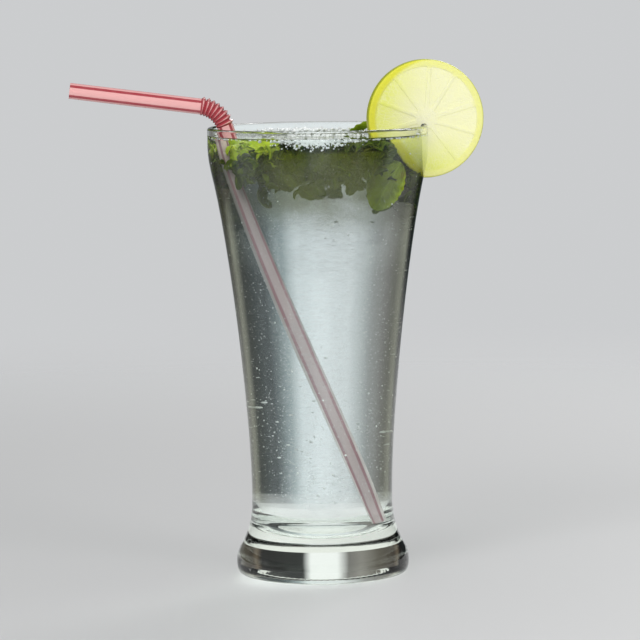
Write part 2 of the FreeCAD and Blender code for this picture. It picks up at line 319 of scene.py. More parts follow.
@dataclass(frozen=True)
class HerbHazeFinish:
    """The murk of the finest mint shreds, thick under the surface and gone some way below it."""

    level: float
    name: str = "herb_haze"
    colour: Rgb = (0.112, 0.132, 0.014)
    thickest: float = 0.66
    ends: float = 0.038
    thins: float = 0.018
    patches: float = 75.0
    thin_side: float = 0.15
    left: tuple[float, float] = (-0.024, -0.006)
    right: tuple[float, float] = (0.029, 0.017)

    def build(self) -> bpy.types.Material:
        """Makes the material."""
        material, tree = new_tree(self.name)
        place = tree.place()
        x, _, z = tree.split(place)
        depth = tree.step(z, self.level - self.ends, self.level - self.thins)
        patches = tree.noise(place, self.patches, 3.0, 0.6)
        clouds = tree.times_plus(tree.step(patches, 0.30, 0.68), 0.55, 0.45)
        middle = tree.times(tree.step(x, *self.left), tree.step(x, *self.right))
        share = tree.times(tree.times(depth, clouds),
                           tree.times_plus(middle, 1.0 - self.thin_side, self.thin_side))
        alpha = tree.times(tree.times(share, self.thickest), tree.step(tree.facing(), 0.95, 0.45))
        finish_tree(tree, tree.matt(self.colour, alpha))
        return material


@dataclass(frozen=True)
class StrawFinish:
    """Translucent plastic with red stripes along the tube and red roots between the ribs of the flex,
    painted shade in its creases.
    """

    hub: Vector
    rise: Vector
    arm: Vector
    bend: float
    radius: float
    level: float
    name: str = "striped_straw"
    pale: Rgb = (0.97, 0.49, 0.48)
    edge: Rgb = (0.94, 0.39, 0.40)
    red: Rgb = (0.42, 0.008, 0.028)
    wet_pale: Rgb = (0.44, 0.41, 0.405)
    wet_low: Rgb = (0.92, 0.86, 0.85)
    wet_red: Rgb = (0.43, 0.225, 0.26)
    wet_edge: Rgb = (0.64, 0.53, 0.54)
    wet_top: Rgb = (0.88, 0.70, 0.64)
    milky: Rgb = (0.95, 0.85, 0.83)
    root_inner: float = 0.00034
    root_outer: float = 0.00062
    lightens_from: float = 0.140
    lightens_to: float = 0.040
    top_from: float = 0.0100
    top_to: float = 0.0025

    def build(self) -> bpy.types.Material:
        """Makes the material."""
        material, tree = new_tree(self.name)
        place = tree.place()
        hub = {"0": place, "1": tuple(self.hub)}
        from_hub = tree.node("ShaderNodeVectorMath", hub, operation="SUBTRACT").outputs[0]
        depth = tree.reach_along(from_hub, self.rise.cross(self.arm).normalized())
        over, past = tree.reach_along(from_hub, self.rise), tree.reach_along(from_hub, self.arm)
        share = tree.math("DIVIDE", tree.math("ABSOLUTE", depth), self.radius)
        stripe = tree.times(tree.step(share, 0.58, 0.68), tree.step(share, 0.91, 0.86))
        away = tree.length(from_hub)
        flat = tree.math("SQRT", tree.minus(tree.times(away, away), tree.times(depth, depth)))
        off = tree.minus(flat, self.bend)
        tube = tree.math("SQRT", tree.math("ADD", tree.times(off, off), tree.times(depth, depth)))
        # Painted shade: the roots between the ribs of the flex are red, as though the creases were in shade.
        root = tree.step(tube, self.radius + self.root_outer, self.radius + self.root_inner)
        flexed = tree.times(tree.math("GREATER_THAN", over, 0.0), tree.math("LESS_THAN", past, 0.0))
        ribbed = tree.math("MAXIMUM", root, tree.times(stripe, 0.6))
        red_share = tree.mix_values(flexed, stripe, ribbed)
        _, _, z = tree.split(place)
        # Painted light under the surface: the straw is greyer and paler, as the lit veil of the cloudy drink
        # shows it, and lighter towards the bottom and just under the surface.
        wet = tree.step(z, self.level + 0.0003, self.level - 0.0003)
        cloud = tree.noise(place, 420.0, 2.0)
        dry = tree.mix(tree.step(share, 0.60, 0.20), self.pale, self.edge)
        low = tree.mix(tree.step(z, self.lightens_from, self.lightens_to), self.wet_pale, self.wet_low)
        sunk = tree.mix(tree.step(share, 0.66, 0.72), low, self.wet_edge)
        skin_deep = tree.step(z, self.level - self.top_from, self.level - self.top_to)
        wide = tree.mix(wet, dry, tree.mix(skin_deep, sunk, self.wet_top))
        line = tree.mix(wet, self.red, self.wet_red)
        body = tree.mix(tree.times(red_share, 0.96), wide, line)
        inputs = {
            "Base Color": tree.mix(tree.times(cloud, 0.10), body, self.milky),
            "Roughness": 0.18,
            "IOR": 1.49,
            "Transmission Weight": 0.14,
            "Coat Weight": 0.3,
            "Coat Roughness": 0.08,
            "Normal": tree.bump(cloud, 0.15, 0.0002),
        }
        finish_tree(tree, tree.skin(inputs))
        return material


@dataclass(frozen=True)
class LimeFinish:
    """Cut lime: waxy rind, pale pith and membranes, and moist flesh of fine radial cells, with painted light
    that pales the flesh at its upper right.
    """

    hub: Vector
    turn: float
    radius: float
    half: float
    name: str = "cut_lime"
    rind: Rgb = (0.50, 0.54, 0.02)
    rim: Rgb = (0.80, 0.78, 0.07)
    pith: Rgb = (0.91, 0.91, 0.34)
    flesh: Rgb = (0.84, 0.88, 0.20)
    heart: Rgb = (0.98, 0.97, 0.64)
    moist: Rgb = (0.96, 0.95, 0.55)
    darkened: float = 0.8
    dimples: float = 900.0

    def build(self) -> bpy.types.Material:
        """Makes the material."""
        material, tree = new_tree(self.name)
        point = tree.local(self.hub, Euler((0.0, 0.0, self.turn)))
        x, y, z = tree.split(point)
        flat = tree.node("ShaderNodeCombineXYZ", {"X": x, "Y": z}).outputs[0]
        share = tree.math("DIVIDE", tree.length(flat), self.radius)
        angle = tree.math("ARCTAN2", z, x)
        depth = tree.math("ABSOLUTE", y)
        round_and_out = {"X": tree.times(angle, 7.0), "Y": tree.times(share, 5.0), "Z": y}
        polar = tree.node("ShaderNodeCombineXYZ", round_and_out).outputs[0]
        cells = tree.node("ShaderNodeTexVoronoi", {"Vector": polar, "Scale": 2.2, "Randomness": 1.0},
                          feature="DISTANCE_TO_EDGE").outputs["Distance"]
        cell_wall = tree.step(cells, 0.10, 0.0)
        grain = tree.noise(polar, 6.0, 3.0)
        sunk = tree.step(depth, self.half - 0.00003, self.half - 0.00020)
        pocket = tree.times(sunk, tree.step(share, 0.895, 0.87))
        # Painted light: the flesh is paler towards the upper right of the slice, where light falls, and
        # greener out towards the rind elsewhere.
        lit = tree.step(tree.times_plus(x, 1.1, tree.times(z, 0.7)), -0.014, 0.018)
        outer = tree.times(tree.step(share, 0.05, 0.95), tree.minus(1.10, lit))
        wash = tree.mix(outer, self.heart, self.flesh)
        pulp = tree.mix(tree.times(cell_wall, 0.35), wash, self.heart)
        pulp = tree.mix(tree.times(grain, 0.30), pulp, self.moist)
        film = tree.mix(tree.step(share, 0.92, 0.80), self.pith, wash)
        inner = tree.mix(pocket, film, pulp)
        lean = tree.times_plus(tree.step(x, 0.004, -0.017), 0.12, tree.minus(share, 0.045))
        skin = tree.mix(tree.step(lean, 0.915, 0.985), inner, self.rim)
        pits = {"Vector": tree.place(), "Scale": self.dimples}
        dimples = tree.node("ShaderNodeTexVoronoi", pits).outputs["Distance"]
        dull = tuple(self.darkened * v for v in self.rind)
        peel = tree.mix(tree.step(dimples, 0.1, 0.5), dull, self.rind)
        outside = tree.step(share, 0.984, 0.993)
        colour = tree.mix(outside, skin, peel)
        height = tree.mix(outside, tree.times(cell_wall, -1.0), dimples)
        inputs = {
            "Base Color": colour,
            "Roughness": tree.times_plus(pocket, -0.22, 0.42),
            "Subsurface Weight": 0.25,
            "Subsurface Radius": (0.006, 0.006, 0.002),
            "Subsurface Scale": 1.0,
            "IOR": 1.40,
            "Coat Weight": 0.35,
            "Coat Roughness": 0.15,
            "Normal": tree.bump(height, 0.25, 0.0003),
        }
        finish_tree(tree, tree.skin(inputs))
        return material


@dataclass(frozen=True)
class LeafFinish:
    """Mint leaf: pale ribs over quilted green, by the leaf's own map and its own tone, which also paints
    light and shade on it.
    """

    name: str = "mint_leaf"
    deep: Rgb = (0.030, 0.040, 0.006)
    green: Rgb = (0.080, 0.118, 0.012)
    bright: Rgb = (0.52, 0.66, 0.04)
    bruised: Rgb = (0.17, 0.12, 0.020)
    rib: Rgb = (0.40, 0.56, 0.04)
    veins: float = 7.0
    vein_slant: float = 0.55

    def build(self) -> bpy.types.Material:
        """Makes the material."""
        material, tree = new_tree(self.name)
        along, across, _ = tree.split(tree.node("ShaderNodeUVMap", uv_map="leaf").outputs[0])
        tone = tree.node("ShaderNodeAttribute", attribute_name="tone").outputs["Fac"]
        off = tree.math("ABSOLUTE", tree.minus(across, 0.5))
        mid = tree.step(off, 0.045, 0.012)
        slant = tree.minus(along, tree.times(off, self.vein_slant))
        beat = tree.math("FRACT", tree.times(slant, self.veins))
        wave = tree.math("ABSOLUTE", tree.minus(beat, 0.5))
        veins = tree.times(tree.step(wave, 0.07, 0.0), 0.8)
        ribs = tree.math("MAXIMUM", mid, veins)
        cloud = tree.noise(tree.place(), 260.0, 3.0)
        # Painted light and shade by tone: a high tone makes the leaf bright green as though lit, a low tone
        # darkens it towards deep green as though in shade.
        fresh = tree.mix(tone, self.green, self.bright)
        body = tree.mix(tree.step(cloud, 0.35, 0.75), fresh, tree.mix(0.5, fresh, self.deep))
        darkened = tree.mix(tree.times(tree.step(tone, 0.30, 0.0), 0.75), body, self.deep)
        bruise = tree.times(tree.step(tree.noise(tree.place(), 120.0, 2.0), 0.60, 0.72), 0.6)
        stained = tree.mix(bruise, darkened, self.bruised)
        colour = tree.mix(tree.times(ribs, 0.45), stained, self.rib)
        height = tree.minus(tree.times(wave, 0.6), ribs)
        inputs = {
            "Base Color": colour,
            "Roughness": 0.5,
            "Specular IOR Level": 0.10,
            "Subsurface Weight": 0.15,
            "Subsurface Radius": (0.001, 0.002, 0.0005),
            "Subsurface Scale": 1.0,
            "Normal": tree.bump(height, 0.4, 0.0004),
        }
        finish_tree(tree, tree.skin(inputs))
        return material


@dataclass(frozen=True)
class BubbleFinish:
    """Small bubbles, white and matt all over: the foam's own white, and on the clear bubbles a painted
    highlight.
    """

    name: str = "fizz_bubble"
    colour: Rgb = (0.93, 0.96, 0.96)
    dull: Rgb = (0.78, 0.86, 0.86)

    def build(self) -> bpy.types.Material:
        """Makes the material."""
        material, tree = new_tree(self.name)
        cloud = tree.noise(tree.place(), 700.0, 1.0)
        # Painted highlight: the clear bubbles on the wall and in the drink are white and matt, standing for
        # their glints.
        colour = tree.mix(tree.times(cloud, 0.3), self.colour, self.dull)
        inputs = {"Base Color": colour, "Roughness": 0.12, "IOR": 1.33}
        finish_tree(tree, tree.skin(inputs))
        return material


@dataclass(frozen=True)
class FloorFinish:
    """Plain pale floor, which fades into the plain background far from the glass.

    Rays that come through the glass meet a paler floor, a painted pool of light under the glass, which fades
    nearer to it.
    """

    name: str = "pale_floor"
    colour: Rgb = (0.60, 0.605, 0.61)
    near: float = 0.30
    far: float = 0.95
    glass_near: float = 0.05
    glass_far: float = 0.24
    painted_light_under_glass: Rgb = (0.93, 0.94, 0.93)

    def build(self) -> bpy.types.Material:
        """Makes the material."""
        material, tree = new_tree(self.name)
        reach = tree.length(tree.place())
        through = tree.node("ShaderNodeLightPath").outputs["Is Transmission Ray"]
        # Painted light: rays through the glass see the floor paler than it is.
        colour = tree.mix(through, self.colour, self.painted_light_under_glass)
        inputs = {"Base Color": colour, "Roughness": 0.55, "Specular IOR Level": 0.2}
        away = tree.node("ShaderNodeBsdfTransparent").outputs[0]
        seen = tree.times(through, tree.step(reach, self.glass_near, self.glass_far))
        share = tree.math("MAXIMUM", seen, tree.step(reach, self.near, self.far))
        mixed = tree.node("ShaderNodeMixShader", {"0": share, "1": tree.skin(inputs), "2": away})
        finish_tree(tree, mixed.outputs[0])
        return material


# ---- modelling helpers ------------------------------------------------------------------------
def clear_selection() -> None:
    """Leaves edit mode and deselects everything."""
    if bpy.context.object and bpy.context.object.mode != "OBJECT":
        bpy.ops.object.mode_set(mode="OBJECT")
    bpy.ops.object.select_all(action="DESELECT")


def choose(thing: bpy.types.Object) -> None:
    """Makes one object the only selected and the active one."""
    clear_selection()
    thing.select_set(True)
    bpy.context.view_layer.objects.active = thing


def select_points(thing: bpy.types.Object, wanted: Callable[[Vector], bool]) -> None:
    """Selects in edit mode the vertices whose place passes a test.

    Args:
        thing: the object in edit mode.
        wanted: the test of a vertex's place.
    """
    mesh = bmesh.from_edit_mesh(thing.data)
    for vertex in mesh.verts:
        vertex.select_set(wanted(vertex.co))
    mesh.select_flush_mode()
    bmesh.update_edit_mesh(thing.data)


def turned_body(name: str, rings: Sequence[tuple[float, float]], sides: int) -> bpy.types.Object:
    """Draws a closed round body up from its lowest ring, one extrusion for each ring.

    Args:
        name: name of the object.
        rings: radius and height of each ring, from the bottom up, round the Z axis.
        sides: corners of each ring.

    Returns:
        The body, with both ends closed and smooth shading.
    """
    clear_selection()
    radius, height = rings[0]
    start = {"radius": radius, "location": (0, 0, height)}
    bpy.ops.mesh.primitive_circle_add(vertices=sides, fill_type="NGON", **start)
    body = bpy.context.object
    body.name = name
    bpy.ops.object.transform_apply(location=True, rotation=True, scale=True)
    bpy.ops.object.mode_set(mode="EDIT")
    bpy.ops.mesh.select_all(action="SELECT")
    for next_radius, next_height in rings[1:]:
        bpy.ops.mesh.extrude_region_move(TRANSFORM_OT_translate={"value": (0, 0, next_height - height)})
        share = next_radius / radius
        bpy.ops.transform.resize(value=(share, share, 1), center_override=(0, 0, next_height))
        radius, height = next_radius, next_height
    bpy.ops.mesh.select_all(action="SELECT")
    bpy.ops.mesh.remove_doubles(threshold=1e-7)
    bpy.ops.mesh.normals_make_consistent(inside=False)
    bpy.ops.object.mode_set(mode="OBJECT")
    bpy.ops.object.shade_smooth_by_angle(angle=math.radians(40))
    return body


def apply_modifiers(thing: bpy.types.Object) -> None:
    """Applies every modifier of an object in order."""
    choose(thing)
    for modifier in list(thing.modifiers):
        bpy.ops.object.modifier_apply(modifier=modifier.name)


def copy_of(thing: bpy.types.Object) -> bpy.types.Object:
    """A copy with its own mesh, linked to the scene."""
    twin = thing.copy()
    twin.data = thing.data.copy()
    bpy.context.scene.collection.objects.link(twin)
    return twin


def join_all(name: str, pieces: Sequence[bpy.types.Object]) -> bpy.types.Object:
    """Joins pieces to one object whose place is in its mesh.

    Args:
        name: name of the joined object and its mesh.
        pieces: what is joined.

    Returns:
        The joined object.
    """
    clear_selection()
    for piece in pieces:
        piece.select_set(True)
    bpy.context.view_layer.objects.active = pieces[0]
    bpy.ops.object.join()
    joined = bpy.context.object
    bpy.ops.object.transform_apply(location=True, rotation=True, scale=True)
    joined.name = name
    joined.data.name = name
    return joined


def dress(thing: bpy.types.Object, material: bpy.types.Material) -> None:
    """Gives an object one material."""
    thing.data.materials.clear()
    thing.data.materials.append(material)


def settle(thing: bpy.types.Object, replaced: str | None = None) -> None:
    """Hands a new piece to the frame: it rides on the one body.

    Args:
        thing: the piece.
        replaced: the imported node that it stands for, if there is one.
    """
    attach(thing, "root")
    if replaced:
        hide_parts(replaced)
    LOG.info("made %s with %d faces", thing.name, len(thing.data.polygons))


# ---- the glass --------------------------------------------------------------------------------
@dataclass
class Glass:
    """The footed flared glass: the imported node, with a clear finish, and its inner wall as a profile."""

    node: bpy.types.Object
    floor: float = 0.014
    step: float = 0.0005
    under_lip: float = 0.0012
    probe: float = 0.7
    reaches: list[float] = field(default_factory=list)

    def __post_init__(self) -> None:
        """Measures the inside of the wall once, at even steps above the floor."""
        mesh = self.node.data
        points = [v.co for v in mesh.vertices]
        hull = BVHTree.FromPolygons(points, [tuple(face.vertices) for face in mesh.polygons])
        out = at_bearing(1.0, self.probe, 0.0)
        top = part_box(self.node.name)[1].z - self.under_lip
        for index in range(int((top - self.floor) / self.step)):
            height = self.floor + self.step * (index + 0.5)
            found = hull.ray_cast(Vector((0, 0, height)), out)[0]
            self.reaches.append(math.hypot(found.x, found.y))

    def dress(self) -> None:
        """Gives the glass its clear, faintly green finish."""
        tints_and_edge_shade = ((0.0, (0.99, 1.0, 0.99)), (0.5, (0.97, 0.99, 0.97)), (1.0, (0.90, 0.93, 0.90)))
        finish = ClearFinish("clear_glass", tints_and_edge_shade, ior=1.50, clear=1.0, shade=(0.98, 0.99, 0.98),
                             absorbed=(0.72, 0.84, 0.68), density=4.0, waves=22.0, wave_height=0.00006)
        dress(self.node, finish.build())
        LOG.info("dressed %s", self.node.name)

    def inner_radius(self, height: float) -> float:
        """Inside radius of the wall at a height.

        Args:
            height: metres above the table, over the inside floor.

        Returns:
            Distance from the axis to the wall.
        """
        place = (height - self.floor) / self.step - 0.5
        index = min(max(int(place), 0), len(self.reaches) - 2)
        share = min(max(place - index, 0.0), 1.0)
        return self.reaches[index] * (1 - share) + self.reaches[index + 1] * share


# ---- the drink --------------------------------------------------------------------------------
@dataclass
class Drink:
    """The soda: a body that reaches just into the wall, with a surface that climbs at the wall."""

    glass: Glass
    level: float
    overlap: float = 0.00012
    climb: float = 0.0012
    climb_width: float = 0.0018
    sides: int = 160
    surface_rings: tuple[float, ...] = (0.03, 0.08, 0.15, 0.25, 0.4, 0.6, 1.0, 1.5, 2.2, 3.2, 5.0, 8.0,
                                        12.0, 16.0)
    veil_rings: int = 40
    rounded_rings: int = 4
    blunt: float = 0.02
    herb_veil: tuple[float, float, float] = (0.975, 0.127, 0.0012)
    fizz_veils: tuple[tuple[float, float, float, FizzHazeFinish], ...] = (
        (0.54, 0.019, 0.012, FizzHazeFinish("fizz_haze", 0.13)),
        (0.34, 0.024, 0.018, FizzHazeFinish("fizz_haze_inner", 0.12)))

    def wall_heights(self) -> list[float]:
        """Heights of the rings along the wall, close together over the round floor corner."""
        heights = [self.glass.floor + 0.0105 * (1 - math.cos(math.radians(a))) for a in range(14, 91, 6)]
        top = self.level + self.climb
        start = heights[-1]
        steps = 64
        heights += [start + (top - start) * i / steps for i in range(1, steps + 1)]
        return heights

    def rings(self) -> list[tuple[float, float]]:
        """The whole outline from the middle of the floor up the wall and in over the surface."""
        bottom = self.glass.floor - self.overlap
        rings = [(0.012, bottom)]
        for height in self.wall_heights():
            rings.append((self.glass.inner_radius(height) + self.overlap, height))
        edge = rings[-1][0]
        for share in self.surface_rings:
            rise = self.climb * math.exp(-share)
            rings.append((edge - share * self.climb_width, self.level + rise))
        return rings

    def build(self) -> None:
        """Makes and dresses the drink."""
        body = turned_body("soda", self.rings(), self.sides)
        # Painted shade: the soda darkens in bands where its surface is met at a slant, at the sides of the
        # drink.
        tints_and_edge_shade = ((0.0, (0.97, 0.99, 1.0)), (0.04, (0.93, 0.96, 0.97)), (0.10, (0.82, 0.85, 0.86)),
                 (0.17, (0.72, 0.73, 0.71)), (0.205, (0.50, 0.51, 0.44)), (0.235, (0.34, 0.345, 0.26)),
                 (0.30, (0.34, 0.34, 0.25)), (0.40, (0.70, 0.71, 0.62)), (0.60, (0.94, 0.96, 0.94)),
                 (1.0, (0.98, 0.99, 0.98)))
        finish = ClearFinish("cloudy_soda", tints_and_edge_shade, ior=1.333, clear=0.995, shade=(0.97, 0.98, 0.98),
                             absorbed=(0.80, 0.88, 0.92), density=2.5, waves=60.0, wave_height=0.00004,
                             edge_shade_from=0.024, edge_shade_to=self.level - 0.004, mirror=0.25)
        dress(body, finish.build())
        settle(body, "drink")

    def veil_outline(self, share: float, low: float, high: float) -> list[tuple[float, float]]:
        """Rings of a veil that follows the wall and is rounded off at both ends.

        Args:
            share: the veil's radius as a share of the wall's inside radius.
            low: height of its lower end.
            high: height of its upper end.

        Returns:
            Radius and height of each ring from the bottom up.
        """
        rings = []
        for i in range(self.veil_rings + 1):
            height = low + (high - low) * i / self.veil_rings
            from_end = min(1.0, min(i, self.veil_rings - i) / self.rounded_rings)
            rounding = math.sqrt(max(self.blunt, 1 - (1 - from_end) ** 2))
            rings.append((self.glass.inner_radius(height) * share * rounding, height))
        return rings

    def build_haze(self) -> None:
        """Makes the veil of mint murk and, inside it, the two veils of fine bubbles."""
        bodies = ((*self.herb_veil, HerbHazeFinish(self.level)), *self.fizz_veils)
        for index, (share, low, under, finish) in enumerate(bodies):
            rings = self.veil_outline(share, low, self.level - under)
            veil = turned_body(f"fizz_veil_{index + 1}", rings, 96)
            dress(veil, finish.build())
            settle(veil)


# ---- the straw --------------------------------------------------------------------------------
@dataclass
class Straw:
    """The bendy straw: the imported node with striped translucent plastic."""

    node: bpy.types.Object
    lip: float
    level: float
    radius: float = 0.003
    bend: float = 0.0112
    inside_lip: float = 0.0398
    aside: float = 0.009
    flex_above_lip: float = 0.0012
    leans_to: float = 185.4
    off_upright: float = 19.51
    arm_to: float = 184.0
    arm_rise: float = 7.7
    rise: Vector = field(init=False)
    arm: Vector = field(init=False)
    hub: Vector = field(init=False)

    def __post_init__(self) -> None:
        """Works out which way the tube and the arm point, and the hub of the bend between them."""
        self.rise = heading(self.leans_to, 90.0 - self.off_upright)
        self.arm = heading(self.arm_to, self.arm_rise)
        reach = self.inside_lip - self.radius / math.cos(math.radians(self.off_upright))
        along = math.sqrt(reach ** 2 - self.aside ** 2)
        at_lip = heading(self.leans_to) * along + heading(self.leans_to + 90.0) * self.aside
        at_lip.z = self.lip
        outward = self.rise.cross(self.rise.cross(self.arm)).normalized()
        start = at_lip + self.rise * (self.flex_above_lip / self.rise.z)
        self.hub = start - outward * self.bend

    def dress(self) -> None:
        """Lays the stripes by the plane of the bend, and by its hub the ribs' colours with the painted shade
        in their roots.
        """
        finish = StrawFinish(self.hub, self.rise, self.arm, self.bend, self.radius, self.level)
        dress(self.node, finish.build())
        LOG.info("dressed %s", self.node.name)


# ---- the lime ---------------------------------------------------------------------------------
@dataclass
class LimeSlice:
    """The slice on the rim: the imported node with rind, pith and flesh."""

    node: bpy.types.Object
    turn: float = math.radians(11.0)
    radius: float = 0.0226
    half: float = 0.0023
    hub: Vector = field(init=False)
    out: Vector = field(init=False)
    side: Vector = field(init=False)

    def __post_init__(self) -> None:
        """Finds the centre of the slice from the node's box, and its two level directions."""
        low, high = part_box(self.node.name)
        self.hub = (low + high) / 2
        self.out = at_bearing(1.0, self.turn, 0.0)
        self.side = Vector((-math.sin(self.turn), math.cos(self.turn), 0))

    def holds(self, point: Vector, room: float = 0.0005) -> bool:
        """True if a point lies in the slice or within a small room round it."""
        away = point - self.hub
        flat = math.hypot(away.dot(self.out), away.z)
        return flat < self.radius + room and abs(away.dot(self.side)) < self.half + room

    def dress(self) -> None:
        """Gives the slice its cut-fruit finish."""
        dress(self.node, LimeFinish(self.hub, self.turn, self.radius, self.half).build())
        LOG.info("dressed %s", self.node.name)


# ---- the mint ---------------------------------------------------------------------------------
@dataclass
class LeafShape:
    """One kind of leaf: a grid drawn to a toothed oval, cupped, ruffled and given its thickness."""

    name: str
    length: float
    width: float
    teeth: int
    rows: int
    cup: float
    sag: float
    rounds: int = 1
    thickness: float = 0.00032
    notch: float = 0.87
    ruffle: float = 0.035
    edge: float = 0.24

    def half_width(self, share: float) -> float:
        """Half the width at a share of the length, as a share of the widest."""
        return max(math.sin(math.pi * min(share, 1.0) ** 0.85) ** 0.55, 0.14)

    def build(self) -> bpy.types.Object:
        """Models the leaf along +X from the origin.

        Returns:
            The leaf with a map named leaf and a tone of its own.
        """
        clear_selection()
        columns, rows = 2 * self.teeth + 2, self.rows
        cells = {"x_subdivisions": columns, "y_subdivisions": rows}
        bpy.ops.mesh.primitive_grid_add(size=1.0, location=(0.5, 0, 0), **cells)
        leaf = bpy.context.object
        leaf.name = self.name
        bpy.ops.object.transform_apply(location=True, rotation=True, scale=True)
        layer = leaf.data.uv_layers.new(name="leaf")
        for loop in leaf.data.loops:
            place = leaf.data.vertices[loop.vertex_index].co
            layer.data[loop.index].uv = (place.x, place.y + 0.5)
        bpy.ops.object.mode_set(mode="EDIT")
        for row in range(rows + 1):
            at = row / rows - 0.5
            select_points(leaf, lambda p, at=at: abs(p.y - at) < 0.2 / rows)
            bpy.ops.transform.translate(value=(0, 0, self.cup * 4 * at * at))
        for column in range(columns + 1):
            share = column / columns
            wide = self.half_width(share) * (self.notch if column % 2 == 0 else 1.0)
            select_points(leaf, lambda p, at=share: abs(p.x - at) < 0.2 / columns)
            bpy.ops.transform.resize(value=(1, wide, 1), center_override=(share, 0, 0))
            bpy.ops.transform.translate(value=(0, 0, -self.sag * (2 * share - 0.8) ** 2))
            select_points(leaf, lambda p, at=share: abs(p.x - at) < 0.2 / columns and abs(p.y) > self.edge)
            bpy.ops.transform.translate(value=(0, 0, self.ruffle * math.sin(2.1 * column)))
        bpy.ops.mesh.select_all(action="SELECT")
        bpy.ops.transform.resize(value=(self.length, self.width, self.length), center_override=(0, 0, 0))
        bpy.ops.object.mode_set(mode="OBJECT")
        body = leaf.modifiers.new("body", "SOLIDIFY")
        body.thickness = self.thickness
        body.offset = 0.0
        if self.rounds:
            smooth = leaf.modifiers.new("smooth", "SUBSURF")
            smooth.levels = smooth.render_levels = self.rounds
        apply_modifiers(leaf)
        bpy.ops.object.shade_smooth_by_angle(angle=math.radians(60))
        tone = leaf.data.attributes.new("tone", "FLOAT", "POINT")
        tone.data.foreach_set("value", [0.5] * len(tone.data))
        return leaf


@dataclass
class LeafSpot:
    """Where one leaf lies: its stalk end, its turns in degrees, its size and its tone."""

    at: Vector
    turns: tuple[float, float, float]
    size: float = 1.0
    tone: float = 0.5

    def matrix(self) -> Matrix:
        """The move from the flat leaf to its place."""
        turn = Euler([math.radians(v) for v in self.turns]).to_matrix().to_4x4()
        return Matrix.Translation(self.at) @ turn @ Matrix.Scale(self.size, 4)


